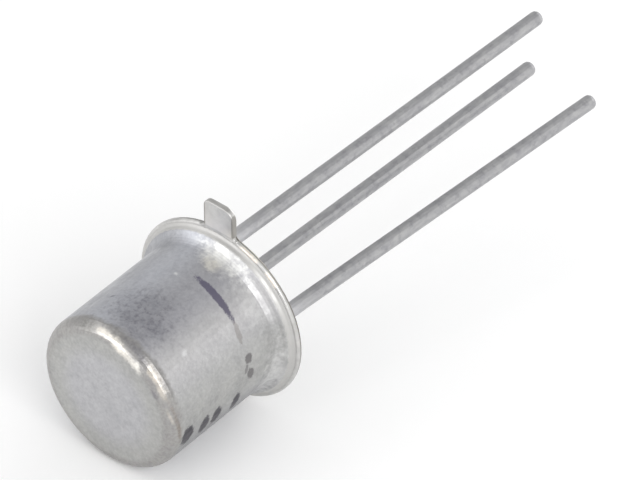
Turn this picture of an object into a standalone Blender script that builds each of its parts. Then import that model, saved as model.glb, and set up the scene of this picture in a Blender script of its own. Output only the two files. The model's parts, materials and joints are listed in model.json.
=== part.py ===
"""A small bipolar transistor in a round metal can with three leads, lying at rest.

Each piece is modelled upright in the package's own frame. The header's underside
is at z = 0, the can rises along +z, the leads hang down and the index tab points
along +x. An empty then lays the whole package down, as it comes to rest on a table.
"""

import math

import bmesh
import bpy
from mathutils import Matrix, Vector

MM = 0.001

# Can: a cup drawn from thin sheet, with a flared foot and a flange round its open end
OVERALL_HEIGHT = 4.83 * MM
CAP_DIAMETER = 4.70 * MM
CAP_SHEET = 0.18 * MM
CAP_CORNER_RADIUS = 0.39 * MM
CAP_FLARE_RADIUS = 0.34 * MM
CAP_FLANGE_DIAMETER = 5.22 * MM
CAP_FLANGE_EDGE_RADIUS = 0.07 * MM
CAP_FOOT_BEND_RADIUS = 0.30 * MM

# Header: a flange and a raised deck, stamped from one sheet
HEADER_FLANGE_DIAMETER = 5.63 * MM
HEADER_SHEET = 0.18 * MM
HEADER_EDGE_RADIUS = 0.07 * MM
DECK_DIAMETER = 4.06 * MM
DECK_HEIGHT = 1.00 * MM
DECK_CORNER_RADIUS = 0.25 * MM
DECK_FOOT_RADIUS = 0.10 * MM

# Index tab, part of the header's sheet
TAB_WIDTH = 0.86 * MM
TAB_LENGTH = 0.88 * MM
TAB_CORNER_RADIUS = 0.22 * MM
TAB_EDGE_RADIUS = 0.03 * MM
TAB_INSET = 0.004 * MM

# Leads: round wire on one circle. Every angle is counted from the tab, and lengths are below the header.
LEAD_CIRCLE_DIAMETER = 2.54 * MM
LEAD_DIAMETER = 0.435 * MM
LEAD_TIP_RADIUS = 0.13 * MM
LEAD_BEND_RADIUS = 10.0 * MM
POST_HEIGHT = 0.45 * MM
POST_EDGE_RADIUS = 0.04 * MM
LEADS = {
    "emitter": {"angle": 45, "length": 14.0 * MM, "straight": 1.0 * MM, "lean": 3.5, "lean_towards": -68},
    "base": {"angle": 135, "length": 13.85 * MM, "straight": 2.45 * MM, "lean": 3.45, "lean_towards": -66},
    "collector": {"angle": 225, "length": 13.95 * MM, "straight": 1.55 * MM, "lean": 4.45, "lean_towards": -84},
}

# Glass that fills the header and seals the leads
FEEDTHROUGH_DIAMETER = 0.90 * MM
GLASS_RECESS = 0.04 * MM
GLASS_FOOT_RADIUS = 0.06 * MM

# Chip and its wires
DIE_SIDE = 0.46 * MM
DIE_THICKNESS = 0.20 * MM
DIE_CORNER_RADIUS = 0.01 * MM
PAD_OFFSET = 0.10 * MM
BOND_WIRE_DIAMETER = 0.034 * MM
BOND_BALL_DIAMETER = 0.080 * MM
BOND_BALL_HEIGHT = 0.030 * MM
BOND_LOOP_HEIGHT = 0.30 * MM

# Space left between two pieces that touch, so that no facet of one cuts into the other
FIT = 0.01 * MM

# How finely round shapes are cut
BODY_SIDES = 64
LEAD_SIDES = 16
ARC_TOLERANCE = 0.003 * MM
BOND_WIRE_POINTS = 14
BEND_STEPS = 3

# Points closer than this are one point
SAME_POINT = 0.00005 * MM
SHARP_ANGLE = math.radians(35)

DECK_UNDERSIDE = DECK_HEIGHT - HEADER_SHEET
CAVITY_RADIUS = DECK_DIAMETER / 2 - HEADER_SHEET
CAP_FLANGE_UNDERSIDE = HEADER_SHEET + FIT
CAP_FLANGE_TOP = CAP_FLANGE_UNDERSIDE + CAP_SHEET
CAP_BORE_RADIUS = CAP_DIAMETER / 2 - CAP_SHEET


def clear_scene():
    for old in list(bpy.data.objects):
        bpy.data.objects.remove(old, do_unlink=True)


def material(name, colour, metallic, roughness):
    finish = bpy.data.materials.new(name)
    finish.use_nodes = True
    shader = finish.node_tree.nodes["Principled BSDF"]
    shader.inputs["Base Color"].default_value = (*colour, 1.0)
    shader.inputs["Metallic"].default_value = metallic
    shader.inputs["Roughness"].default_value = roughness
    finish.diffuse_color = (*colour, 1.0)
    return finish


def arc(centre, radius, start, end):
    """Points along an arc about centre, from one angle in degrees to the other, both ends included."""
    start = math.radians(start)
    end = math.radians(end)
    widest_step = 2 * math.acos(1 - ARC_TOLERANCE / radius)
    steps = math.ceil(abs(end - start) / widest_step)
    points = []
    for step in range(steps + 1):
        angle = start + (end - start) * step / steps
        points.append((centre[0] + radius * math.cos(angle), centre[1] + radius * math.sin(angle)))
    return points


def add_object(name, mesh_builder, parent, finish, location=(0, 0, 0)):
    """A new object made from the bmesh, smooth where it is round."""
    bmesh.ops.remove_doubles(mesh_builder, verts=mesh_builder.verts, dist=SAME_POINT)
    bmesh.ops.recalc_face_normals(mesh_builder, faces=mesh_builder.faces)
    mesh = bpy.data.meshes.new(name)
    mesh_builder.to_mesh(mesh)
    mesh_builder.free()
    mesh.shade_smooth()
    mesh.set_sharp_from_angle(angle=SHARP_ANGLE)
    made = bpy.data.objects.new(name, mesh)
    bpy.context.scene.collection.objects.link(made)
    made.parent = parent
    made.location = location
    if finish:
        made.data.materials.append(finish)
    return made


def turned(outline, sides):
    """A bmesh of the closed outline (r, z) turned a full circle about the z axis.

    The first side's flat faces +x, so that the package lies on a flat and not on an edge.
    """
    mesh_builder = bmesh.new()
    half_side = Matrix.Rotation(math.pi / sides, 4, "Z")
    corners = [mesh_builder.verts.new(half_side @ Vector((r, 0, z))) for r, z in outline]
    edges = []
    for first, second in zip(corners, corners[1:] + corners[:1]):
        if first.co.xy.length > SAME_POINT or second.co.xy.length > SAME_POINT:
            edges.append(mesh_builder.edges.new((first, second)))
    bmesh.ops.spin(
        mesh_builder,
        geom=corners + edges,
        cent=(0, 0, 0),
        axis=(0, 0, 1),
        angle=2 * math.pi,
        steps=sides,
        use_merge=True,
    )
    return mesh_builder


def rod(radius, bottom, top, sides=LEAD_SIDES):
    """A bmesh of a plain round rod."""
    return turned([(0, top), (radius, top), (radius, bottom), (0, bottom)], sides)


def helper(name, mesh_builder, parent, location=(0, 0, 0)):
    """A cutter, or a shape that is joined to another: it isn't a piece by itself."""
    made = add_object(name, mesh_builder, parent, None, location)
    made.hide_render = True
    made.display_type = "WIRE"
    return made


def combine(target, tool, operation):
    step = target.modifiers.new(tool.name, "BOOLEAN")
    step.operation = operation
    step.solver = "EXACT"
    step.object = tool


def lead_place(name):
    """The point on the lead circle where the lead stands, at the seating plane."""
    angle = math.radians(LEADS[name]["angle"])
    return Vector((math.cos(angle), math.sin(angle), 0)) * LEAD_CIRCLE_DIAMETER / 2


def build_cap(parent, finish):
    wall = CAP_DIAMETER / 2
    corner = (wall - CAP_CORNER_RADIUS, OVERALL_HEIGHT - CAP_CORNER_RADIUS)
    rim = CAP_FLANGE_DIAMETER / 2
    edge_centre = (rim - CAP_FLANGE_EDGE_RADIUS, CAP_FLANGE_TOP - CAP_FLANGE_EDGE_RADIUS)
    # The hollow flare runs smoothly into the rim's rounded edge, where the line between their centres crosses both
    centres_apart = CAP_FLARE_RADIUS + CAP_FLANGE_EDGE_RADIUS
    meeting_angle = math.acos((wall + CAP_FLARE_RADIUS - edge_centre[0]) / centres_apart)
    flare = (wall + CAP_FLARE_RADIUS, edge_centre[1] + centres_apart * math.sin(meeting_angle))
    meeting_angle = math.degrees(meeting_angle)
    inner_corner = CAP_CORNER_RADIUS - CAP_SHEET
    outline = [(0, OVERALL_HEIGHT)]
    outline += arc(corner, CAP_CORNER_RADIUS, 90, 0)
    outline += arc(flare, CAP_FLARE_RADIUS, 180, 180 + meeting_angle)
    outline += arc(edge_centre, CAP_FLANGE_EDGE_RADIUS, meeting_angle, 0)[1:]
    outline += [(rim, CAP_FLANGE_UNDERSIDE)]
    foot = (CAP_BORE_RADIUS + CAP_FOOT_BEND_RADIUS, CAP_FLANGE_UNDERSIDE + CAP_FOOT_BEND_RADIUS)
    outline += arc(foot, CAP_FOOT_BEND_RADIUS, 270, 180)
    outline += arc(corner, inner_corner, 0, 90)
    outline += [(0, OVERALL_HEIGHT - CAP_SHEET)]
    return add_object("cap", turned(outline, BODY_SIDES), parent, finish)


def header_shell():
    """The header's sheet section turned: flange, foot bend, raised wall and deck."""
    rim = HEADER_FLANGE_DIAMETER / 2
    edge_centre = rim - HEADER_EDGE_RADIUS
    deck = DECK_DIAMETER / 2
    deck_corner = (deck - DECK_CORNER_RADIUS, DECK_HEIGHT - DECK_CORNER_RADIUS)
    foot = (deck + DECK_FOOT_RADIUS, HEADER_SHEET + DECK_FOOT_RADIUS)
    inner_corner = DECK_CORNER_RADIUS - HEADER_SHEET
    outline = [(0, DECK_HEIGHT)]
    outline += arc(deck_corner, DECK_CORNER_RADIUS, 90, 0)
    outline += arc(foot, DECK_FOOT_RADIUS, 180, 270)
    outline += arc((edge_centre, HEADER_SHEET - HEADER_EDGE_RADIUS), HEADER_EDGE_RADIUS, 90, 0)
    outline += arc((edge_centre, HEADER_EDGE_RADIUS), HEADER_EDGE_RADIUS, 0, -90)
    mouth = DECK_FOOT_RADIUS / 2
    outline += arc((CAVITY_RADIUS + mouth, mouth), mouth, 270, 180)
    outline += arc((CAVITY_RADIUS - inner_corner, DECK_UNDERSIDE - inner_corner), inner_corner, 0, 90)
    outline += [(0, DECK_UNDERSIDE)]
    return turned(outline, BODY_SIDES)


def tab_plate():
    """The index tab, a plate with two round corners that starts inside the flange."""
    root = HEADER_FLANGE_DIAMETER / 2 - 3 * HEADER_EDGE_RADIUS
    tip = HEADER_FLANGE_DIAMETER / 2 + TAB_LENGTH
    half = TAB_WIDTH / 2
    corner = (tip - TAB_CORNER_RADIUS, half - TAB_CORNER_RADIUS)
    outline = [(root, half)]
    outline += reversed(arc(corner, TAB_CORNER_RADIUS, 0, 90))
    outline += [(x, -y) for x, y in arc(corner, TAB_CORNER_RADIUS, 0, 90)]
    outline += [(root, -half)]
    mesh_builder = bmesh.new()
    bottom = [mesh_builder.verts.new((x, y, TAB_INSET)) for x, y in outline]
    face = mesh_builder.faces.new(bottom)
    raised = bmesh.ops.extrude_face_region(mesh_builder, geom=[face])
    top = [item for item in raised["geom"] if isinstance(item, bmesh.types.BMVert)]
    bmesh.ops.translate(mesh_builder, verts=top, vec=(0, 0, HEADER_SHEET - 2 * TAB_INSET))
    rims = [
        edge
        for edge in mesh_builder.edges
        if abs(edge.verts[0].co.z - edge.verts[1].co.z) < SAME_POINT
        and max(edge.verts[0].co.x, edge.verts[1].co.x) > root + SAME_POINT
    ]
    bmesh.ops.bevel(
        mesh_builder,
        geom=rims,
        offset=TAB_EDGE_RADIUS,
        offset_type="OFFSET",
        segments=2,
        profile=0.5,
        affect="EDGES",
    )
    return mesh_builder


def build_header(parent, finish):
    header = add_object("header", header_shell(), parent, finish)
    combine(header, helper("header_tab", tab_plate(), parent), "UNION")
    for name in ("emitter", "base"):
        hole = rod(FEEDTHROUGH_DIAMETER / 2, DECK_UNDERSIDE - HEADER_SHEET, DECK_HEIGHT + HEADER_SHEET)
        combine(header, helper(f"header_hole_{name}", hole, parent, lead_place(name)), "DIFFERENCE")
    return header


def build_glass(parent, finish):
    """The glass, poured and fired into the header, with a sleeve round each insulated lead."""
    side = CAVITY_RADIUS - FIT
    top = DECK_UNDERSIDE - FIT
    top_corner = DECK_CORNER_RADIUS - HEADER_SHEET
    outline = [(0, top)]
    outline += arc((side - top_corner, top - top_corner), top_corner, 90, 0)
    outline += arc((side - GLASS_FOOT_RADIUS, GLASS_RECESS + GLASS_FOOT_RADIUS), GLASS_FOOT_RADIUS, 0, -90)
    outline += [(0, GLASS_RECESS)]
    glass = add_object("glass_seal", turned(outline, BODY_SIDES), parent, finish)
    for name in ("emitter", "base"):
        sleeve = rod(FEEDTHROUGH_DIAMETER / 2 - FIT, DECK_UNDERSIDE / 2, DECK_HEIGHT)
        combine(glass, helper(f"glass_sleeve_{name}", sleeve, parent, lead_place(name)), "UNION")
    for name in LEADS:
        bore = rod(LEAD_DIAMETER / 2 + FIT, -DECK_HEIGHT, 2 * DECK_HEIGHT)
        combine(glass, helper(f"glass_bore_{name}", bore, parent, lead_place(name)), "DIFFERENCE")
    return glass


def lead_path(lead, top):
    """Points down the lead's centreline from its top, each with the direction there."""
    towards = math.radians(lead["lean_towards"])
    sideways = Vector((math.cos(towards), math.sin(towards), 0))
    down = Vector((0, 0, -1))
    lean = math.radians(lead["lean"])
    points = [(Vector((0, 0, top)), down)]
    for step in range(BEND_STEPS + 1):
        turn = lean * step / BEND_STEPS
        reach = sideways * (1 - math.cos(turn)) + down * math.sin(turn)
        along = down * math.cos(turn) + sideways * math.sin(turn)
        points.append((down * lead["straight"] + reach * LEAD_BEND_RADIUS, along))
    bend_end, along = points[-1]
    points.append((bend_end + along * (lead["length"] + bend_end.z) / math.cos(lean), along))
    return points


def build_lead(name, top, parent, finish):
    """A round wire, bent a little below the header, with soft edges at both ends."""
    radius = LEAD_DIAMETER / 2
    path = lead_path(LEADS[name], top)
    rings = []
    start, along = path[0]
    for inset, drop in arc((radius - POST_EDGE_RADIUS, POST_EDGE_RADIUS), POST_EDGE_RADIUS, -90, 0):
        rings.append((start + along * drop, along, inset))
    for point, direction in path[1:-1]:
        rings.append((point, direction, radius))
    end, along = path[-1]
    for inset, rise in arc((radius - LEAD_TIP_RADIUS, -LEAD_TIP_RADIUS), LEAD_TIP_RADIUS, 0, 90):
        rings.append((end + along * rise, along, inset))
    mesh_builder = bmesh.new()
    loops = []
    for point, direction, ring_radius in rings:
        loops.append(ring(mesh_builder, point, direction, ring_radius))
    for upper, lower in zip(loops, loops[1:]):
        bridge(mesh_builder, upper, lower)
    mesh_builder.faces.new(loops[0])
    mesh_builder.faces.new(reversed(loops[-1]))
    return add_object(f"{name}_lead", mesh_builder, parent, finish, lead_place(name))


def ring(mesh_builder, point, direction, ring_radius):
    """Corners of a regular polygon square to direction, turned so that it matches the bores."""
    turn = Vector((0, 0, -1)).rotation_difference(direction)
    corners = []
    for side in range(LEAD_SIDES):
        angle = 2 * math.pi * (side + 0.5) / LEAD_SIDES
        corner = Vector((math.cos(angle), math.sin(angle), 0)) * ring_radius
        corners.append(mesh_builder.verts.new(point + turn @ corner))
    return corners


def bridge(mesh_builder, upper, lower):
    for side in range(len(upper)):
        following = (side + 1) % len(upper)
        mesh_builder.faces.new((upper[side], lower[side], lower[following], upper[following]))


def build_die(parent, finish):
    mesh_builder = bmesh.new()
    bmesh.ops.create_cube(mesh_builder, size=1, matrix=Matrix.Diagonal((DIE_SIDE, DIE_SIDE, DIE_THICKNESS, 1)))
    bmesh.ops.bevel(
        mesh_builder,
        geom=list(mesh_builder.edges),
        offset=DIE_CORNER_RADIUS,
        offset_type="OFFSET",
        segments=1,
        affect="EDGES",
    )
    middle = DECK_HEIGHT + FIT + DIE_THICKNESS / 2
    return add_object("die", mesh_builder, parent, finish, (0, 0, middle))


def build_bond_wire(name, parent, finish):
    """A fine wire from its pad on the chip, up and over to the top of its post."""
    lead = lead_place(name)
    toward_post = lead.normalized()
    pad = toward_post * PAD_OFFSET
    pad.z = DECK_HEIGHT + FIT + DIE_THICKNESS + FIT
    landing = lead.copy()
    landing.z = DECK_HEIGHT + POST_HEIGHT + FIT + BOND_WIRE_DIAMETER / 2
    loop_top = Vector((0, 0, landing.z - pad.z + BOND_LOOP_HEIGHT))
    approach = (landing - pad).length / 2
    controls = [pad, pad + loop_top, landing - toward_post * approach + Vector((0, 0, BOND_LOOP_HEIGHT)), landing]
    wire = bpy.data.curves.new(f"{name}_bond_wire", "CURVE")
    wire.dimensions = "3D"
    wire.bevel_depth = BOND_WIRE_DIAMETER / 2
    wire.bevel_resolution = 1
    wire.use_fill_caps = True
    spline = wire.splines.new("POLY")
    ball = [(pad, BOND_BALL_DIAMETER), (pad + Vector((0, 0, BOND_BALL_HEIGHT)), BOND_BALL_DIAMETER)]
    places = ball + [
        (bezier(controls, step / BOND_WIRE_POINTS), BOND_WIRE_DIAMETER) for step in range(2, BOND_WIRE_POINTS + 1)
    ]
    spline.points.add(len(places) - 1)
    for point, (place, diameter) in zip(spline.points, places):
        point.co = (*place, 1)
        point.radius = diameter / BOND_WIRE_DIAMETER
    made = bpy.data.objects.new(f"{name}_bond_wire", wire)
    bpy.context.scene.collection.objects.link(made)
    made.parent = parent
    wire.materials.append(finish)
    return made


def bezier(controls, share):
    """The point at that share of a cubic curve."""
    first, second, third, last = controls
    rest = 1 - share
    return first * rest**3 + second * 3 * rest**2 * share + third * 3 * rest * share**2 + last * share**3


def resting_tilt():
    """The angle of the axis when the header's flange and the can's top corner both touch the table."""
    flat = math.cos(math.pi / BODY_SIDES)
    flange = Vector((HEADER_FLANGE_DIAMETER / 2 - HEADER_EDGE_RADIUS, HEADER_SHEET - HEADER_EDGE_RADIUS))
    corner = Vector((CAP_DIAMETER / 2 - CAP_CORNER_RADIUS, OVERALL_HEIGHT - CAP_CORNER_RADIUS))
    apart = Vector(((corner.x - flange.x) * flat, corner.y - flange.y))
    radii = (CAP_CORNER_RADIUS - HEADER_EDGE_RADIUS) * flat
    return math.atan2(apart.y, apart.x) - math.acos(-radii / apart.length)


def lay_down(package, pieces):
    """Lays the package on its side, tab up and leads along +x, and stands it on z = 0 over the origin."""
    package.rotation_euler = (0, -(math.pi / 2 + resting_tilt()), 0)
    bpy.context.view_layer.update()
    graph = bpy.context.evaluated_depsgraph_get()
    low = Vector((math.inf,) * 3)
    high = Vector((-math.inf,) * 3)
    for piece in pieces:
        shown = piece.evaluated_get(graph)
        shape = shown.to_mesh()
        for corner in shape.vertices:
            place = shown.matrix_world @ corner.co
            low = Vector(map(min, low, place))
            high = Vector(map(max, high, place))
        shown.to_mesh_clear()
    package.location = (-(low.x + high.x) / 2, -(low.y + high.y) / 2, -low.z)
    bpy.context.view_layer.update()


def main():
    clear_scene()
    package = bpy.data.objects.new("package", None)
    bpy.context.scene.collection.objects.link(package)
    plated_can = material("plated_can", (0.50, 0.50, 0.51), 1.0, 0.38)
    plated_header = material("plated_header", (0.54, 0.53, 0.51), 1.0, 0.34)
    plated_wire = material("plated_wire", (0.42, 0.42, 0.43), 1.0, 0.40)
    sealing_glass = material("sealing_glass", (0.05, 0.08, 0.08), 0.0, 0.12)
    silicon = material("silicon", (0.10, 0.10, 0.12), 0.0, 0.20)
    gold = material("gold_wire", (0.80, 0.56, 0.20), 1.0, 0.25)
    post_top = DECK_HEIGHT + POST_HEIGHT
    pieces = [
        build_cap(package, plated_can),
        build_header(package, plated_header),
        build_glass(package, sealing_glass),
        build_lead("emitter", post_top, package, plated_wire),
        build_lead("base", post_top, package, plated_wire),
        build_lead("collector", DECK_UNDERSIDE - FIT, package, plated_wire),
        build_die(package, silicon),
        build_bond_wire("emitter", package, gold),
        build_bond_wire("base", package, gold),
    ]
    lay_down(package, pieces)


main()
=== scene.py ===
# %% [markdown]
# # A small transistor in a metal can, lying on a white table
#
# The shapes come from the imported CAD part. This script gives each piece the finish that
# the photo shows, adds two small forms that the CAD doesn't have, and sets up a camera, a
# pale floor and soft studio light.
#
# 1. Load the part and set up its own frame
# 2. Write the few helpers that every finish needs
# 3. Finish the can, the header, the leads and what is sealed inside
# 4. Add the index tab's true outline and the weld fillet
# 5. Set the camera, the floor and the lamps

import json
import math

import bmesh
import bpy
from mathutils import Matrix, Vector


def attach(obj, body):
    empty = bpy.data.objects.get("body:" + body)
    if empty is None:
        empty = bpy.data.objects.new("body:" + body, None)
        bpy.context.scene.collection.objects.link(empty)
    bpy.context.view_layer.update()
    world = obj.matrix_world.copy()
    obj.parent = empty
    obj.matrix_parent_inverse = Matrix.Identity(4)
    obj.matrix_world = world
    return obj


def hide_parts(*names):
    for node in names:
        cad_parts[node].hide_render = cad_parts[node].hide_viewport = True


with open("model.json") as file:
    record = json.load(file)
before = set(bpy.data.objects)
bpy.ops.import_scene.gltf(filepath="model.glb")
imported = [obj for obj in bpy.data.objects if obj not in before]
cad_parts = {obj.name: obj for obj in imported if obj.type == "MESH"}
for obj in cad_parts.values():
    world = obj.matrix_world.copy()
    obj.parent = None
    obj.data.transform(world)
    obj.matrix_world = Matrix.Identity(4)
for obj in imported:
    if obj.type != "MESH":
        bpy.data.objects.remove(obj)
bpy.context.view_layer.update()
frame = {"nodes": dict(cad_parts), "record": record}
pieces = frame["nodes"]
print("pieces:", sorted(pieces))

# %% [markdown]
# ## The package's own frame
#
# The part lies tilted on the table, on its flange and the can's top edge. A finish is
# easier to describe on an upright can, so every pattern is placed in the package's own
# frame, in millimetres: the seating plane is at height 0, the can rises from it, and
# angles are counted from the index tab, anticlockwise as seen from the can's end. The
# record's mount on the seating plane says where that plane is and how it is tilted.

# %% Package frame
MM = 0.001
seating = next(mount for mount in frame["record"]["mounts"] if mount["name"] == "seating_plane")
SEAT_POINT = Vector((seating["pos_m"][0], 0.0, seating["pos_m"][2]))
DIP = math.asin(seating["axis"][2])
UPRIGHT = Matrix.Rotation(math.pi / 2 + DIP, 4, "Y")
LAY_DOWN = Matrix.Translation(SEAT_POINT) @ UPRIGHT.inverted() @ Matrix.Scale(MM, 4)
print("the axis dips by", round(math.degrees(DIP), 1), "degrees")

# %% [markdown]
# ## Colours and nodes
#
# Colours are written as sRGB hex, as a colour picker gives them, and one function turns
# them linear, which is how shaders count light. One more function adds a node of any
# kind: its inputs follow in the order in which Blender shows them, each a value or
# another node's output, and its settings are given by name. Two kinds do most of the
# work: Map Range turns a distance into a soft mask, and Mix lays a colour over another.

# %% Colours and nodes
SMOOTHLY = {"interpolation_type": "SMOOTHSTEP"}


def linear(hex_colour):
    """sRGB hex to the linear colour that shaders use."""
    channels = [int(hex_colour[i : i + 2], 16) / 255 for i in (1, 3, 5)]
    return [c / 12.92 if c <= 0.04045 else ((c + 0.055) / 1.055) ** 2.4 for c in channels] + [1.0]


def add(tree, kind, *inputs, **settings):
    """One shader node. It gives its output, or all its outputs where it has several."""
    node = tree.nodes.new("ShaderNode" + kind)
    for name, value in settings.items():
        setattr(node, name, value)
    shown = [socket for socket in node.inputs if socket.enabled]
    for socket, value in zip(shown, inputs):
        if isinstance(value, bpy.types.NodeSocket):
            tree.links.new(value, socket)
        else:
            socket.default_value = value
    given = [socket for socket in node.outputs if socket.enabled]
    return given[0] if len(given) == 1 else node.outputs


def new_finish(name, metallic, roughness, colour):
    """A material, its tree and its main shader."""
    finish = bpy.data.materials.new(name)
    finish.use_nodes = True
    shader = finish.node_tree.nodes["Principled BSDF"]
    shader.inputs["Metallic"].default_value = metallic
    shader.inputs["Roughness"].default_value = roughness
    shader.inputs["Base Color"].default_value = linear(colour)
    return finish, finish.node_tree, shader


print("middle grey #808080 is", round(linear("#808080")[0], 3), "in linear light")

# %% [markdown]
# ## Places and patterns in millimetres
#
# A Mapping node turns object coordinates, which are metres on the lying part, into
# millimetres on the upright one. So a pattern keeps its place on the metal in every view,
# and its scale can be worked out from a real size.

# %% Places and patterns
def upright_mm(tree):
    """The place on the part in its own upright frame, in millimetres."""
    seat = UPRIGHT @ SEAT_POINT / MM
    to_mm = (1 / MM, 1 / MM, 1 / MM)
    return add(tree, "Mapping", add(tree, "TexCoord")["Object"], -seat, UPRIGHT.to_euler(), to_mm)


def round_the_axis(tree, place):
    """The angle from the tab in degrees, the distance from the axis, and the height."""
    x, y, height = add(tree, "SeparateXYZ", place)
    angle = add(tree, "Math", add(tree, "Math", y, x, operation="ARCTAN2"), operation="DEGREES")
    out = add(tree, "VectorMath", add(tree, "CombineXYZ", x, y), operation="LENGTH")
    return angle, out, height


def off_from(tree, value, middle):
    """How far a value is from a middle, either way."""
    return add(tree, "Math", add(tree, "Math", value, middle, operation="SUBTRACT"), operation="ABSOLUTE")


def noise(tree, place, size_mm, detail=2.0, roughness=0.5, stretch=(1, 1, 1)):
    """Noise whose blotches are about size_mm wide. Its values gather about 0.5."""
    moved = add(tree, "Mapping", place, (0, 0, 0), (0, 0, 0), stretch)
    return add(tree, "TexNoise", moved, 0.5 / size_mm, detail, roughness)["Fac"]


def blotches(tree, place, size_mm, **more):
    """The same noise with its middle spread out, so that it goes from 0 to 1."""
    return add(tree, "MapRange", noise(tree, place, size_mm, **more), 0.3, 0.7, **SMOOTHLY)


print("blotches 0.3 mm wide have a noise scale of", round(0.5 / 0.3, 2), "per mm")

# %% [markdown]
# ## A map of the can
#
# The can is a cup drawn from thin sheet. Its marks sit on the wall, on the round top
# corner and on the end face, and a flat map holds all three: across goes the way round
# the can, and up goes the way along its profile, over the corner and in to the middle.

# %% Map of the can
CAN_RADIUS = 2.35
CAN_HEIGHT = 4.83
CORNER_RADIUS = 0.39
FLAT_OUT = CAN_RADIUS - CORNER_RADIUS
WALL_TOP = CAN_HEIGHT - CORNER_RADIUS
CORNER_END = WALL_TOP + CORNER_RADIUS * math.pi / 2
DEGREE_ON_WALL = math.radians(1) * CAN_RADIUS


def can_map(tree, place):
    """The place on the map, the angle, the distance from the axis and the way up the profile."""
    angle, out, height = round_the_axis(tree, place)
    above = add(tree, "Math", height, WALL_TOP, operation="SUBTRACT")
    beyond = add(tree, "Math", out, FLAT_OUT, operation="SUBTRACT")
    lean = add(tree, "Clamp", add(tree, "Math", above, beyond, operation="ARCTAN2"), 0.0, math.pi / 2)
    on_wall = add(tree, "Math", height, WALL_TOP, operation="MINIMUM")
    run = add(tree, "Math", lean, CORNER_RADIUS, on_wall, operation="MULTIPLY_ADD")
    inward = add(tree, "Math", beyond, 0.0, operation="MINIMUM")
    run = add(tree, "Math", run, inward, operation="SUBTRACT")
    across = add(tree, "Math", angle, DEGREE_ON_WALL, operation="MULTIPLY")
    return add(tree, "CombineXYZ", across, run), angle, out, run


def reach_of(tree, on_map, angle, run, half_length, half_width, slant):
    """How far a place is from a mark's middle: 1 on the mark's outline."""
    middle = (angle * DEGREE_ON_WALL, run, 0)
    turn = (0, 0, math.radians(slant))
    inside = add(tree, "Mapping", on_map, middle, turn, (half_length, half_width, 1), vector_type="TEXTURE")
    return add(tree, "VectorMath", inside, operation="LENGTH")


print("the corner goes from", round(WALL_TOP, 2), "to", round(CORNER_END, 2), "mm up the profile")

# %% [markdown]
# ## The can's plate: its tones and painted reflections
#
# The sheet is plated dull, but it isn't one tone all round: broad lighter and darker bands
# run up the wall. They are painted reflections and painted shade, which stand in for the
# room that the metal reflects, laid by the angle round the can on top of what the lamps
# below give. Soft bands put each tone where it belongs: two wide ones first, a cool one
# and a neutral one to its right, then the narrower dark and light ones.

# %% Tones of the plate and painted reflection bands
WALL_TONE = "#B5B6B9"
CORNER_TONE = "#A5A3A0"
END_TONE = "#BFBFC1"
END_EDGE_TONE = "#B6B6B3"

# Each band: the angle of its middle, its half width in degrees, its strength and colour.
# Lighter bands are painted reflections, darker ones painted shade.
PAINTED_REFLECTION_BANDS = [
    (-35, 80, 1.0, "#BBBBC0"),
    (-90, 70, 1.0, "#B9B9B6"),
    (-96, 36, 0.6, "#A6A6A4"),
    (-142, 50, 0.6, "#94959A"),
    (-125, 24, 1.0, "#89898C"),
    (-46, 26, 1.0, "#D1D0D0"),
    (14, 28, 1.0, "#CBCDD3"),
    (42, 14, 0.4, "#A2A4AA"),
]


def wall_tone_with_painted_reflections(tree, angle):
    """The wall's tone: one colour, with broad bands of painted reflection and painted shade over it."""
    tone = linear(WALL_TONE)
    for middle, half, strength, colour in PAINTED_REFLECTION_BANDS:
        cover = add(tree, "MapRange", off_from(tree, angle, middle), 0.0, half, strength, 0.0, **SMOOTHLY)
        tone = add(tree, "Mix", cover, tone, linear(colour), data_type="RGBA")
    return tone


def plate_tone(tree, angle, out, run, waver):
    """The tone from the wall, with its painted reflection bands, over the corner to the end face, and where
    the corner starts.
    """
    near_edge = add(tree, "MapRange", out, 1.1, 1.8, **SMOOTHLY)
    end_tone = add(tree, "Mix", near_edge, linear(END_TONE), linear(END_EDGE_TONE), data_type="RGBA")
    wavy = add(tree, "Math", waver, 0.15, run, operation="MULTIPLY_ADD")
    corner = add(tree, "MapRange", wavy, WALL_TOP - 0.1, WALL_TOP + 0.1, **SMOOTHLY)
    tone = add(tree, "Mix", corner, wall_tone_with_painted_reflections(tree, angle), linear(CORNER_TONE), data_type="RGBA")
    ending = add(tree, "MapRange", run, CORNER_END - 0.15, CORNER_END + 0.1, **SMOOTHLY)
    return add(tree, "Mix", ending, tone, end_tone, data_type="RGBA"), corner


print("bands up the wall:", len(PAINTED_REFLECTION_BANDS))

# %% [markdown]
# ## The can's plate: worn spots, painted highlights and painted shade
#
# Handling leaves soft spots in a dull plate: a darker rubbed patch with fine pits on the
# wall, and a few small nicks. The pale spots on the flare are painted reflections, the
# white band that a lamp draws on the bent metal there. The bright spots along the top
# corner are painted highlights, streaks of lamp light on its round edge, and the dark ones
# beside them are painted shade that damps the lamps' own highlights. Each is a soft
# ellipse on the map, with an outline that the plate's own blotches make uneven.

# %% Spots in the plate: wear, painted highlights, reflections and shade
# Each spot: the angle of its middle, its way up the profile, its half length round the
# can and its half width in mm, its slant in degrees, its strength and its colour
RUBBED_PATCH = (-5.0, 3.50, 1.20, 1.00, 0, 0.44, "#83848D")
WALL_SPOTS = [
    (-14.0, 4.28, 0.50, 0.16, 0, 0.30, "#76767E"),
    (-5.0, 4.00, 0.45, 0.30, -10, 0.25, "#7D7E88"),
    (-3.0, 3.07, 0.40, 0.25, -10, 0.20, "#7D7E88"),
    (-21.0, 3.75, 0.35, 0.30, 0, 0.25, "#7D7E88"),
]
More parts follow.
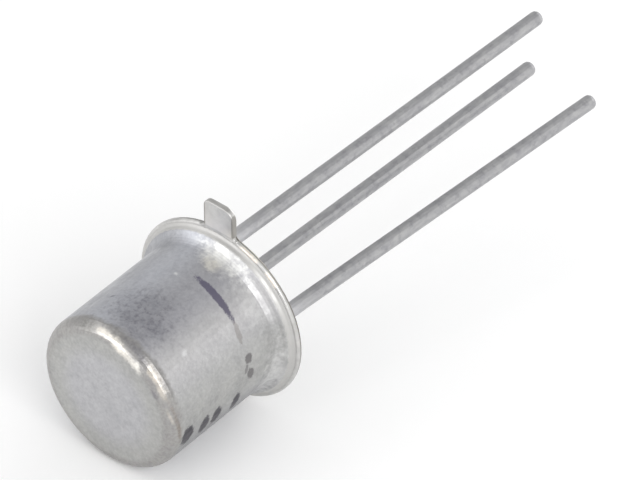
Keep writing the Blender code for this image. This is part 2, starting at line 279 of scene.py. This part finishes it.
# Painted reflections: the pale band that the left strip draws on the flare, laid on as colour
PAINTED_FLARE_REFLECTIONS = [
    (-46.0, 0.92, 0.85, 0.40, 0, 0.36, "#EDEDEC"),
    (-108.0, 0.50, 1.30, 0.45, 0, 0.62, "#E4E4E3"),
    (-135.0, 0.60, 1.60, 0.60, 0, 0.45, "#DEDEDC"),
    (-12.0, 0.55, 0.80, 0.52, 0, 0.95, "#FFFFFC"),
    (-10.0, 0.94, 0.34, 0.22, 0, 0.50, "#F2EEE2"),
]
# Painted highlights: bright streaks of lamp light along the corner. The dark spots are painted shade that
# damps the lamps' own highlights there
PAINTED_CORNER_HIGHLIGHTS_AND_SHADE = [
    (20.0, 4.70, 0.40, 0.20, 0, 0.60, "#82817E"),
    (-24.0, 4.62, 0.55, 0.14, -8, 0.48, "#72717A"),
    (-46.0, 4.60, 0.45, 0.09, 0, 0.60, "#9C968C"),
    (-57.0, 4.97, 0.22, 0.10, 0, 0.55, "#76747C"),
    (1.0, 4.76, 0.36, 0.13, -8, 0.80, "#F4EEE4"),
    (-11.0, 4.85, 0.34, 0.16, -14, 0.90, "#FFF9EE"),
    (-20.0, 4.93, 0.36, 0.17, -14, 1.00, "#FFFAF0"),
    (-31.0, 4.98, 0.36, 0.15, 0, 1.00, "#FFFCF4"),
    (-46.0, 4.73, 0.36, 0.11, 0, 0.90, "#F2E8D8"),
    (-57.0, 4.74, 0.24, 0.10, 0, 0.70, "#E6DED2"),
    (-77.0, 4.75, 0.32, 0.06, 8, 0.50, "#E2DACE"),
    (-84.0, 4.58, 0.80, 0.07, 8, 0.60, "#807468"),
]
NICKS = [
    (1.9, 1.81, 0.08, 0.06, 0, 0.70, "#FFFFFF"),
    (-45.2, 3.53, 0.10, 0.12, 0, 0.55, "#FFFFFF"),
    (23.7, 3.41, 0.10, 0.06, 30, 0.60, "#6A6C76"),
]
WEAR_AND_PAINTED_LIGHT_SPOTS = [RUBBED_PATCH] + WALL_SPOTS + PAINTED_FLARE_REFLECTIONS + PAINTED_CORNER_HIGHLIGHTS_AND_SHADE + NICKS


def paint_wear_and_painted_light(tree, plate, on_map, waver):
    """The plate with its worn spots and its painted highlights, reflections and shade."""
    uneven = add(tree, "Math", waver, 0.8, operation="MULTIPLY")
    for *shape, strength, colour in WEAR_AND_PAINTED_LIGHT_SPOTS:
        reach = add(tree, "Math", reach_of(tree, on_map, *shape), uneven, operation="ADD")
        cover = add(tree, "MapRange", reach, 0.15, 1.3, strength, 0.0, **SMOOTHLY)
        plate = add(tree, "Mix", cover, plate, linear(colour), data_type="RGBA")
    return plate


def paint_pits(tree, plate, place, on_map):
    """Fine dark pits, 0.07 mm wide, thickest in the rubbed patch."""
    pits = noise(tree, place, 0.07, detail=3.0, roughness=0.65)
    pits = add(tree, "MapRange", pits, 0.44, 0.72, **SMOOTHLY)
    reach = reach_of(tree, on_map, *RUBBED_PATCH[:5])
    strength = add(tree, "MapRange", reach, 0.3, 1.5, 0.46, 0.08, **SMOOTHLY)
    cover = add(tree, "Math", pits, strength, operation="MULTIPLY")
    return add(tree, "Mix", cover, plate, linear("#54505C"), data_type="RGBA")


print("spots in the plate:", len(WEAR_AND_PAINTED_LIGHT_SPOTS))

# %% [markdown]
# ## Worn ink on the can
#
# The wall carries a few worn marks of dark ink: a stripe with a faint end, two dots with
# a trace between them, and four dashes. Ink is paint and not metal, so the finish stops
# being metallic where it lies. Wear has eaten its edges, so noise makes them ragged.

# %% Ink marks
# The same values as for a spot, with the ink's colour where it is thick
INK_MARKS = [
    (-28.5, 1.575, 0.86, 0.122, -3, 0.86, "#3A3450"),
    (-57.0, 1.66, 0.34, 0.09, -8, 0.36, "#5E5046"),
    (-77.2, 1.63, 0.16, 0.14, 0, 0.80, "#4A4648"),
    (-89.5, 1.63, 0.20, 0.14, 15, 0.80, "#4A4648"),
    (-84.0, 1.77, 0.14, 0.07, -20, 0.60, "#4A4648"),
    (-107.5, 2.16, 0.35, 0.17, -6, 1.0, "#24202A"),
    (-105.3, 2.97, 0.34, 0.20, -8, 1.0, "#24202A"),
    (-105.0, 3.47, 0.34, 0.20, -8, 1.0, "#24202A"),
    (-101.5, 4.19, 0.37, 0.25, -6, 1.0, "#24202A"),
]


def paint_ink(tree, plate, place, on_map, out):
    """The plate with the ink marks, and how much ink lies at each place."""
    ragged = noise(tree, place, 0.05, detail=3.0, roughness=0.7)
    ragged = add(tree, "MapRange", ragged, 0.0, 1.0, -0.32, 0.32, **SMOOTHLY)
    # Only the outside of the sheet is inked, not its inner face
    outside = add(tree, "MapRange", out, CAN_RADIUS - 0.05, CAN_RADIUS - 0.02, **SMOOTHLY)
    ink = 0.0
    for *shape, strength, colour in INK_MARKS:
        reach = add(tree, "Math", reach_of(tree, on_map, *shape), ragged, operation="ADD")
        cover = add(tree, "MapRange", reach, 0.75, 1.15, strength, 0.0, **SMOOTHLY)
        cover = add(tree, "Math", cover, outside, operation="MULTIPLY")
        plate = add(tree, "Mix", cover, plate, linear(colour), data_type="RGBA")
        ink = add(tree, "Math", ink, cover, operation="MAXIMUM")
    return plate, ink


print("ink marks:", len(INK_MARKS))

# %% [markdown]
# ## The can's finish
#
# The can is drawn from thin steel sheet and plated with dull nickel. To the eye that is a
# soft grey metal: wide, blurred reflections, faint cloudy blotches and a fine grain. The
# plate is duller on the flare by the foot, and a little smoother on the top corner.

# %% Can finish
# The widths of the blotches, the mottling and the grain, in mm. The real grain is far
# finer, but it would only flicker at this image size.
BLOTCH, MOTTLE, GRAIN = 0.3, 0.09, 0.04

# How deep the sheet's waves and the plate's mottling are, in mm
WAVE_DEPTH, MOTTLE_DEPTH = 0.012, 0.003
BUMP_FILTER = 0.1


def can_finish():
    """Dull nickel plate with its tones, spots, pits and ink; the tones and spots hold painted reflections,
    highlights and shade.
    """
    finish, tree, shader = new_finish("dull_nickel_plate_on_drawn_steel", 1.0, 0.4, "#BEBEC0")
    place = upright_mm(tree)
    on_map, angle, out, run = can_map(tree, place)
    blotch = blotches(tree, place, BLOTCH, detail=4.0, roughness=0.6)
    mottle = blotches(tree, place, MOTTLE, detail=3.0, roughness=0.6)
    grain = blotches(tree, place, GRAIN)

    # Their average less a half wavers about 0, and makes every outline uneven
    both = add(tree, "Math", blotch, mottle, operation="ADD")
    waver = add(tree, "Math", both, 0.5, -0.5, operation="MULTIPLY_ADD")
    # The tones carry painted reflection bands, and the spots painted highlights, reflections and shade
    plate, corner = plate_tone(tree, angle, out, run, waver)
    plate = paint_wear_and_painted_light(tree, plate, on_map, waver)
    plate = paint_pits(tree, plate, place, on_map)
    cloudy = [(blotch, 0.15, "#72707A"), (mottle, 0.12, "#6E6C74"), (grain, 0.09, "#FFFFFF")]
    for pattern, strength, colour in cloudy:
        cover = add(tree, "Math", pattern, strength, operation="MULTIPLY")
        plate = add(tree, "Mix", cover, plate, linear(colour), data_type="RGBA")
    plate, ink = paint_ink(tree, plate, place, on_map, out)
    tree.links.new(plate, shader.inputs["Base Color"])
    metal = add(tree, "MapRange", ink, 0.0, 1.0, 1.0, 0.0, **SMOOTHLY)
    tree.links.new(metal, shader.inputs["Metallic"])

    rough = add(tree, "MapRange", blotch, 0.0, 1.0, 0.36, 0.46, **SMOOTHLY)
    rough = add(tree, "Math", corner, -0.04, rough, operation="MULTIPLY_ADD")
    duller_flare = add(tree, "MapRange", run, 0.5, 1.1, 0.12, 0.0, **SMOOTHLY)
    rough = add(tree, "Math", rough, duller_flare, operation="ADD")
    tree.links.new(rough, shader.inputs["Roughness"])

    waves = add(tree, "Math", noise(tree, place, 0.5, detail=3.0), WAVE_DEPTH, operation="MULTIPLY")
    bumps = add(tree, "Math", mottle, MOTTLE_DEPTH, waves, operation="MULTIPLY_ADD")
    normal = add(tree, "Bump", 1.0, MM, BUMP_FILTER, bumps)
    tree.links.new(normal, shader.inputs["Normal"])
    return finish


FINISHES = {"plated_can": can_finish()}
print("can:", len(FINISHES["plated_can"].node_tree.nodes), "shader nodes")

# %% [markdown]
# ## The header's finish
#
# The header is stamped from steel sheet and plated to a satin, slightly warm grey. Its
# faces are even. The stamping die shears the sheet at the rim and round the index tab,
# which leaves these edges rougher and darker; they are painted darker still, as painted
# shade on the tab's sides and on the rim's lower half, which face away from the light.
# Two bright dashes on the rim are painted highlights, glints on its rounded edge, and the
# tab is painted lighter towards its root. Masks could be painted by hand, but worked out
# from the flange's and the tab's sizes they follow the edges exactly, so these sizes are
# named here.

# %% Sheared edges and painted shade
FLANGE_RADIUS = 2.815
FLANGE_SHEET = 0.18
TAB_RIGHT, TAB_LEFT = -0.545, 0.49
TAB_TIP = 3.694
TAB_MIDDLE = (TAB_LEFT + TAB_RIGHT) / 2
TAB_HALF_WIDTH = (TAB_LEFT - TAB_RIGHT) / 2


def sheared_and_shaded_edges(tree, plate, place, out, on_tab):
    """The plate with darker sheared edges, partly painted shade: the tab's sides and tip, and the rim's
    lower half.
    """
    x, y, height = add(tree, "SeparateXYZ", place)
    off_middle = off_from(tree, y, TAB_MIDDLE)
    sides = add(tree, "MapRange", off_middle, TAB_HALF_WIDTH - 0.07, TAB_HALF_WIDTH - 0.04, **SMOOTHLY)
    sides = add(tree, "Math", on_tab, sides, operation="MULTIPLY")
    tip = add(tree, "MapRange", x, TAB_TIP - 0.05, TAB_TIP - 0.02, 0.0, 0.35, **SMOOTHLY)
    rim = add(tree, "MapRange", out, FLANGE_RADIUS - 0.055, FLANGE_RADIUS - 0.015, **SMOOTHLY)
    low = add(tree, "MapRange", height, 0.05, 0.10, 1.0, 0.0, **SMOOTHLY)
    rim = add(tree, "Math", rim, low, operation="MULTIPLY")
    off_tab = add(tree, "Math", 1.0, on_tab, operation="SUBTRACT")
    rim = add(tree, "Math", rim, off_tab, operation="MULTIPLY")
    sheared = add(tree, "Math", add(tree, "Math", sides, tip, operation="MAXIMUM"), rim, operation="MAXIMUM")
    # Both darken the colour: the sheared metal, and painted shade on the faces turned from the light,
    # strongest on the rim's lower half
    for edge, strength, colour in (sheared, 0.75, "#8B8883"), (rim, 0.8, "#5E5A54"):
        cover = add(tree, "Math", edge, strength, operation="MULTIPLY")
        plate = add(tree, "Mix", cover, plate, linear(colour), data_type="RGBA")
    return plate


print("the tab's middle is", round(TAB_MIDDLE, 3), "mm beside the axis")

# %% Painted glints on the rim
# The middle and half length of each painted glint, in degrees from the tab
PAINTED_RIM_GLINTS = [(-23.0, 8.0), (-42.0, 6.0)]


def paint_rim_glints(tree, plate, angle, out, height, grain):
    """The plate with painted highlights: bright glints on the rim's rounded edge, to the right of the tab.
    """
    glint_band = add(tree, "MapRange", out, FLANGE_RADIUS - 0.115, FLANGE_RADIUS - 0.055, **SMOOTHLY)
    upper = add(tree, "MapRange", height, 0.08, 0.12, **SMOOTHLY)
    glint_band = add(tree, "Math", glint_band, upper, operation="MULTIPLY")
    grainy = add(tree, "MapRange", grain, 0.0, 0.6, 0.5, 1.0, **SMOOTHLY)
    glint_band = add(tree, "Math", glint_band, grainy, operation="MULTIPLY")
    # Each glint is a painted highlight, a warm white over the rim's rounded upper edge
    for middle, half in PAINTED_RIM_GLINTS:
        glint = add(tree, "MapRange", off_from(tree, angle, middle), half * 0.6, half, 0.85, 0.0, **SMOOTHLY)
        cover = add(tree, "Math", glint_band, glint, operation="MULTIPLY")
        plate = add(tree, "Mix", cover, plate, linear("#FFF6EA"), data_type="RGBA")
    return plate


print("dashes on the rim:", len(PAINTED_RIM_GLINTS))

# %% Header finish
def header_finish():
    """Satin plate, painted lighter at the tab's root, with sheared edges in painted shade and painted glints
    on the rim.
    """
    finish, tree, shader = new_finish("satin_warm_plate_on_stamped_steel", 1.0, 0.38, "#CCCBC9")
    place = upright_mm(tree)
    angle, out, height = round_the_axis(tree, place)
    cloud = blotches(tree, place, 0.2, detail=3.0)
    grain = blotches(tree, place, 0.06)
    plate = add(tree, "Mix", cloud, linear("#C6C5C3"), linear("#D3D2D0"), data_type="RGBA")
    grainy = add(tree, "Math", grain, 0.15, operation="MULTIPLY")
    plate = add(tree, "Mix", grainy, plate, linear("#8C8C8C"), data_type="RGBA")

    x = add(tree, "SeparateXYZ", place)["X"]
    on_tab = add(tree, "MapRange", x, FLANGE_RADIUS - 0.015, FLANGE_RADIUS + 0.025, **SMOOTHLY)
    # Painted light: the tab's face is painted lighter towards its root
    root = add(tree, "MapRange", x, 2.9, 3.5, 0.45, 0.0, **SMOOTHLY)
    root = add(tree, "Math", on_tab, root, operation="MULTIPLY")
    plate = add(tree, "Mix", root, plate, linear("#F0ECE8"), data_type="RGBA")
    plate = sheared_and_shaded_edges(tree, plate, place, out, on_tab)
    plate = paint_rim_glints(tree, plate, angle, out, height, grain)
    tree.links.new(plate, shader.inputs["Base Color"])
    rough = add(tree, "MapRange", cloud, 0.0, 1.0, 0.34, 0.46, **SMOOTHLY)
    tree.links.new(rough, shader.inputs["Roughness"])
    return finish


FINISHES["plated_header"] = header_finish()
print("header:", len(FINISHES["plated_header"].node_tree.nodes), "shader nodes")

# %% [markdown]
# ## The leads' finish
#
# The leads are round plated wire, dipped in tin. Tin is a dull, slightly uneven grey with
# fine streaks along the wire. Each wire is painted darker along its upper back and lower
# front: painted shade, where the round wire turns from the light. The dip stops short of
# the header, where the brighter plate shows. The rounded ends are rougher, less metallic
# and painted darker: painted shade that damps their bright reflection.

# %% Lead finish
LEAD_WAY = (math.cos(DIP), 0.0, math.sin(DIP))
UPPER_BACK = (-0.07, 0.755, 0.652)


def facing(tree, way):
    """How far the surface faces one way: 1 straight at it, 0 side on."""
    return add(tree, "VectorMath", add(tree, "TexCoord")["Normal"], way, operation="DOT_PRODUCT")


def wire_finish():
    """Dull tin with streaks, spots, painted shade along its sides, a brighter root and duller ends in
    painted shade.
    """
    finish, tree, shader = new_finish("dull_tin_dip_on_wire", 1.0, 0.44, "#B8B8B9")
    place = upright_mm(tree)
    height = add(tree, "SeparateXYZ", place)["Z"]
    # Streaks 0.06 mm wide and two and a half times as long, clouds and spots
    streaks = blotches(tree, place, 0.06, detail=3.0, stretch=(1, 1, 0.4))
    cloud = blotches(tree, place, 0.2, detail=4.0)
    spots = noise(tree, place, 0.1, detail=3.0, roughness=0.6)
    spots = add(tree, "MapRange", spots, 0.5, 0.7, 0.0, 0.35, **SMOOTHLY)
    # Painted shade, darkest along the wires' upper back and lower front
    off_middle = off_from(tree, facing(tree, UPPER_BACK), -0.15)
    painted_edge_shade = add(tree, "MapRange", off_middle, 0.0, 0.9, 0.0, 0.28, **SMOOTHLY)
    undipped = add(tree, "MapRange", height, -3.0, -0.6, 0.0, 0.7, **SMOOTHLY)
    patchy = add(tree, "MapRange", cloud, 0.0, 1.0, 0.5, 1.0, **SMOOTHLY)
    undipped = add(tree, "Math", undipped, patchy, operation="MULTIPLY")
    # The rounded ends: rougher, less metallic and darker; the darker colour is painted shade that damps
    # their bright reflection
    dull_ends_in_painted_shade = add(tree, "MapRange", facing(tree, LEAD_WAY), 0.2, 0.45, **SMOOTHLY)
    layers = [
        (add(tree, "Math", cloud, 0.25, operation="MULTIPLY"), "#98979E"),
        (spots, "#88878C"),
        (painted_edge_shade, "#8E8E92"),
        (undipped, "#E4E4E6"),
        (dull_ends_in_painted_shade, "#86868A"),
    ]
    tin = add(tree, "Mix", streaks, linear("#B2B2B4"), linear("#C2C2C2"), data_type="RGBA")
    for cover, colour in layers:
        tin = add(tree, "Mix", cover, tin, linear(colour), data_type="RGBA")
    tree.links.new(tin, shader.inputs["Base Color"])
    for socket, dipped, cut in ("Metallic", 1.0, 0.2), ("Roughness", 0.44, 0.75):
        tree.links.new(add(tree, "MapRange", dull_ends_in_painted_shade, 0.0, 1.0, dipped, cut, **SMOOTHLY), shader.inputs[socket])
    return finish


FINISHES["plated_wire"] = wire_finish()
print("leads:", len(FINISHES["plated_wire"].node_tree.nodes), "shader nodes")

# %% [markdown]
# ## Glass, chip and gold wires
#
# The glass under the header is fired in place, so it is dark, smooth and glossy. The
# polished silicon chip and its two drawn gold wires are sealed in the can and never
# seen. All three get a plain finish whose gloss varies a little, as on any real surface.

# %% Plain finishes
def plain_finish(name, colour, metallic, roughness):
    """One colour, with a roughness that varies by a tenth in clouds 0.1 mm wide."""
    finish, tree, shader = new_finish(name, metallic, roughness, colour)
    cloud = noise(tree, upright_mm(tree), 0.1)
    rough = add(tree, "MapRange", cloud, 0.3, 0.7, roughness * 0.9, roughness * 1.1, **SMOOTHLY)
    tree.links.new(rough, shader.inputs["Roughness"])
    return finish


FINISHES["sealing_glass"] = plain_finish("fired_sealing_glass", "#203030", 0.0, 0.15)
FINISHES["silicon"] = plain_finish("polished_silicon", "#50505A", 0.0, 0.2)
FINISHES["gold_wire"] = plain_finish("drawn_gold_wire", "#E8C080", 1.0, 0.25)
slots = {entry["node"]: entry["material_slot"] for entry in frame["record"]["subparts"]}
for name, piece in pieces.items():
    piece.data.materials.clear()
    piece.data.materials.append(FINISHES[slots[name]])
    print(name, "->", FINISHES[slots[name]].name)

# %% [markdown]
# ## Index tab
#
# The tab shows which lead is the emitter. On the real header it is a little wider than
# the CAD's, its right corner is rounder than its left, and a small fillet leads into the
# rim on each side. So a plate with that outline is drawn as arcs and lines, given soft
# edges, and joined to a copy of the header with a Boolean union. Pulling the header's own
# points out would be shorter, but would crease its rim. The work is done upright and in
# millimetres, because the union is safest at sizes near 1.

# %% Index tab outline
# The plate starts inside the rim, at its root. The corners are given as the radius of the
# right one and of the left one, seen from the can's end with the tab pointing up.
TAB_ROOT = 2.60
TAB_CORNERS = (0.34, 0.20)
TAB_FILLET = 0.10


def arc(centre, radius, start, end, steps=8):
    """Points along an arc, from one angle in degrees to another."""
    angles = [math.radians(start + (end - start) * step / steps) for step in range(steps + 1)]
    return [(centre[0] + radius * math.cos(a), centre[1] + radius * math.sin(a)) for a in angles]


def tab_outline():
    """The tab's outline seen from above, from its left root round the tip to its right root."""
    right, left = TAB_CORNERS
    outer = [TAB_LEFT + TAB_FILLET, TAB_RIGHT - TAB_FILLET]
    leaves = [math.sqrt(FLANGE_RADIUS**2 - y**2) + TAB_FILLET for y in outer]
    points = [(TAB_ROOT, outer[0])]
    points += arc((leaves[0], outer[0]), TAB_FILLET, 180, 270)
    points += arc((TAB_TIP - left, TAB_LEFT - left), left, 90, 0)
    points += arc((TAB_TIP - right, TAB_RIGHT + right), right, 0, -90)
    points += arc((leaves[1], outer[1]), TAB_FILLET, 90, 180)
    return points + [(TAB_ROOT, outer[1])]


print("the tab is", round(2 * TAB_HALF_WIDTH, 2), "mm wide, with", len(tab_outline()), "points")

# %% Index tab plate
# The plate is a hair thinner than the sheet, so that no faces of the two coincide
TAB_SOFT_EDGE = 0.035
TAB_INSET = 0.002


def new_piece(name, mesh):
    """An object in the scene that shows this mesh."""
    piece = bpy.data.objects.new(name, mesh)
    bpy.context.scene.collection.objects.link(piece)
    return piece


def tab_plate():
    """The tab as a plate with soft edges, in the upright frame."""
    plate = bmesh.new()
    face = plate.faces.new([plate.verts.new((x, y, TAB_INSET)) for x, y in tab_outline()])
    raised = bmesh.ops.extrude_face_region(plate, geom=[face])["geom"]
    top = [item for item in raised if isinstance(item, bmesh.types.BMVert)]
    bmesh.ops.translate(plate, verts=top, vec=(0, 0, FLANGE_SHEET - 2 * TAB_INSET))
    level = [edge for edge in plate.edges if edge.verts[0].co.z == edge.verts[1].co.z]
    free = [edge for edge in level if max(corner.co.x for corner in edge.verts) > TAB_ROOT + 0.01]
    bmesh.ops.bevel(plate, geom=free, offset=TAB_SOFT_EDGE, segments=3, profile=0.5, affect="EDGES")
    bmesh.ops.recalc_face_normals(plate, faces=plate.faces)
    mesh = bpy.data.meshes.new("tab_plate")
    plate.to_mesh(mesh)
    plate.free()
    return new_piece("tab_plate", mesh)


plate = tab_plate()
print("tab plate:", len(plate.data.polygons), "faces")

# %% Header with its tab
SHARP_EDGE = math.radians(35)
upright = pieces["header"].data.copy()
upright.transform(LAY_DOWN.inverted())
stamped = new_piece("stamped_header", upright)
union = stamped.modifiers.new("tab", "BOOLEAN")
union.operation = "UNION"
union.solver = "EXACT"
union.object = plate
joined = stamped.evaluated_get(bpy.context.evaluated_depsgraph_get())
stamped_mesh = bpy.data.meshes.new_from_object(joined)
stamped.modifiers.clear()
stamped.data = stamped_mesh
bpy.data.objects.remove(plate)
stamped_mesh.transform(LAY_DOWN)
stamped_mesh.shade_smooth()
stamped_mesh.set_sharp_from_angle(angle=SHARP_EDGE)
stamped_mesh.materials.clear()
stamped_mesh.materials.append(FINISHES["plated_header"])
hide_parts("header")
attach(stamped, "root")
print("stamped header:", len(stamped_mesh.polygons), "faces")

# %% [markdown]
# ## Weld fillet
#
# The can's flange is welded to the header's all round. The weld leaves a fine fillet in
# the corner between the two, and the plate runs over it, so no dark gap shows. It is a
# small hollow curve turned round the can's axis. The Spin or Screw tool would turn it as
# well, but a loop says plainly which points make which face.

# %% Weld fillet
# The distance from the axis and the height of each point: out of the can's rim, down the
# hollow curve, and back just under the header's top face
FILLET_PROFILE = [
    (2.56, 0.34),
    (2.60, 0.335),
    (2.615, 0.29),
    (2.635, 0.245),
    (2.67, 0.21),
    (2.72, 0.19),
    (2.73, 0.175),
    (2.56, 0.175),
]
FILLET_SIDES = 128


def turned_ring(name, profile, sides):
    """A closed ring with this profile, turned round the can's axis."""
    points, faces = [], []
    count = len(profile)
    for side in range(sides):
        angle = 2 * math.pi * side / sides
        for out, height in profile:
            points.append(LAY_DOWN @ Vector((out * math.cos(angle), out * math.sin(angle), height)))
        for step in range(count):
            corners = (side, step), (side, step + 1), (side + 1, step + 1), (side + 1, step)
            faces.append([(a % sides) * count + b % count for a, b in corners])
    mesh = bpy.data.meshes.new(name)
    mesh.from_pydata(points, [], faces)
    mesh.polygons.foreach_set("use_smooth", [True] * len(faces))
    mesh.update()
    return new_piece(name, mesh)


fillet = turned_ring("weld_fillet", FILLET_PROFILE, FILLET_SIDES)
fillet.data.materials.append(plain_finish("plate_over_weld_fillet", "#C6C5C3", 1.0, 0.5))
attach(fillet, "root")
print("weld fillet:", len(fillet.data.polygons), "faces")

# %% [markdown]
# ## Camera
#
# The camera was fitted to edges measured in the photo. It stands about 19 cm away with
# a long lens, as product photographs are taken, and looks down on the lying part.

# %% Camera
AZIMUTH = math.radians(-53.147)
ELEVATION = math.radians(36.491)
ROLL = math.radians(4.604)
AIM = Vector((-0.1899, 0.1121, 2.6854)) * MM
DISTANCE = 192.886 * MM
LENS = 393.386
SENSOR_WIDTH = 36.0

turn = Matrix.Rotation(AZIMUTH, 4, "Z") @ Matrix.Rotation(math.pi / 2 - ELEVATION, 4, "X")
turn = turn @ Matrix.Rotation(ROLL, 4, "Z")
camera_data = bpy.data.cameras.new("camera")
camera_data.lens = LENS
camera_data.sensor_width = SENSOR_WIDTH
camera_data.clip_start = 1 * MM
camera_data.clip_end = 10.0
camera = bpy.data.objects.new("camera", camera_data)
bpy.context.scene.collection.objects.link(camera)
camera.matrix_world = Matrix.Translation(AIM) @ turn @ Matrix.Translation((0, 0, DISTANCE))
bpy.context.scene.camera = camera
bpy.context.scene.view_settings.view_transform = "Standard"
print("camera at", [round(v / MM, 1) for v in camera.matrix_world.translation], "mm")

# %% [markdown]
# ## Floor and world
#
# Product shots of bright metal are lit from all round, so that the metal has something
# white to reflect. A pale world does that here, and it is no brighter than paper, so
# that the greys of the metal come out as they are written. The floor is matt white paper.

# %% Floor and world
WORLD_STRENGTH = 0.68
FLOOR_REACH = 2.0

world = bpy.data.worlds.new("studio")
bpy.context.scene.world = world
world.use_nodes = True
background = world.node_tree.nodes["Background"]
background.inputs["Color"].default_value = linear("#FFFFFF")
background.inputs["Strength"].default_value = WORLD_STRENGTH

corners = [(FLOOR_REACH * x, FLOOR_REACH * y, 0) for x, y in ((-1, -1), (1, -1), (1, 1), (-1, 1))]
floor_mesh = bpy.data.meshes.new("floor")
floor_mesh.from_pydata(corners, [], [(0, 1, 2, 3)])
floor = new_piece("floor", floor_mesh)
floor_mesh.materials.append(new_finish("pale_paper", 0.0, 0.9, "#FDFDFD")[0])
print("floor:", 2 * FLOOR_REACH, "m wide, world at", WORLD_STRENGTH)

# %% [markdown]
# ## Lamps
#
# Five soft boxes shape the reflections. The front one, a little to the camera's right,
# lights what the photo shows. A low strip at its left puts the white band on the flare. A
# box beyond the leads' tips lights the header's underside, a weak one at the right keeps
# that side from going grey, and one high at the left does the same for the far side.

# %% Lamps
def lamp(name, azimuth, elevation, strength, width=95, height=95, distance=160):
    """A soft box that faces the part, sizes in mm. Strength 1 looks as bright as white paper."""
    data = bpy.data.lights.new(name, "AREA")
    data.shape = "RECTANGLE"
    data.size = width * MM
    data.size_y = height * MM
    data.energy = strength * math.pi * data.size * data.size_y
    box = bpy.data.objects.new(name, data)
    bpy.context.scene.collection.objects.link(box)
    way = Matrix.Rotation(math.radians(azimuth), 4, "Z") @ Matrix.Rotation(-math.radians(elevation), 4, "Y")
    way = way @ Vector((1, 0, 0))
    box.location = way * distance * MM
    box.rotation_euler = way.to_track_quat("Z", "Y").to_euler()
    print(name, "has", round(data.energy, 3), "W")


lamp("front_softbox", 240, 32, 3.6)
lamp("left_strip", 157, 14, 1.9, width=180, height=60)
lamp("back_softbox", 0, 12, 4.0)
lamp("right_softbox", 324, 12, 1.0)
lamp("top_back_softbox", 110, 40, 0.84)
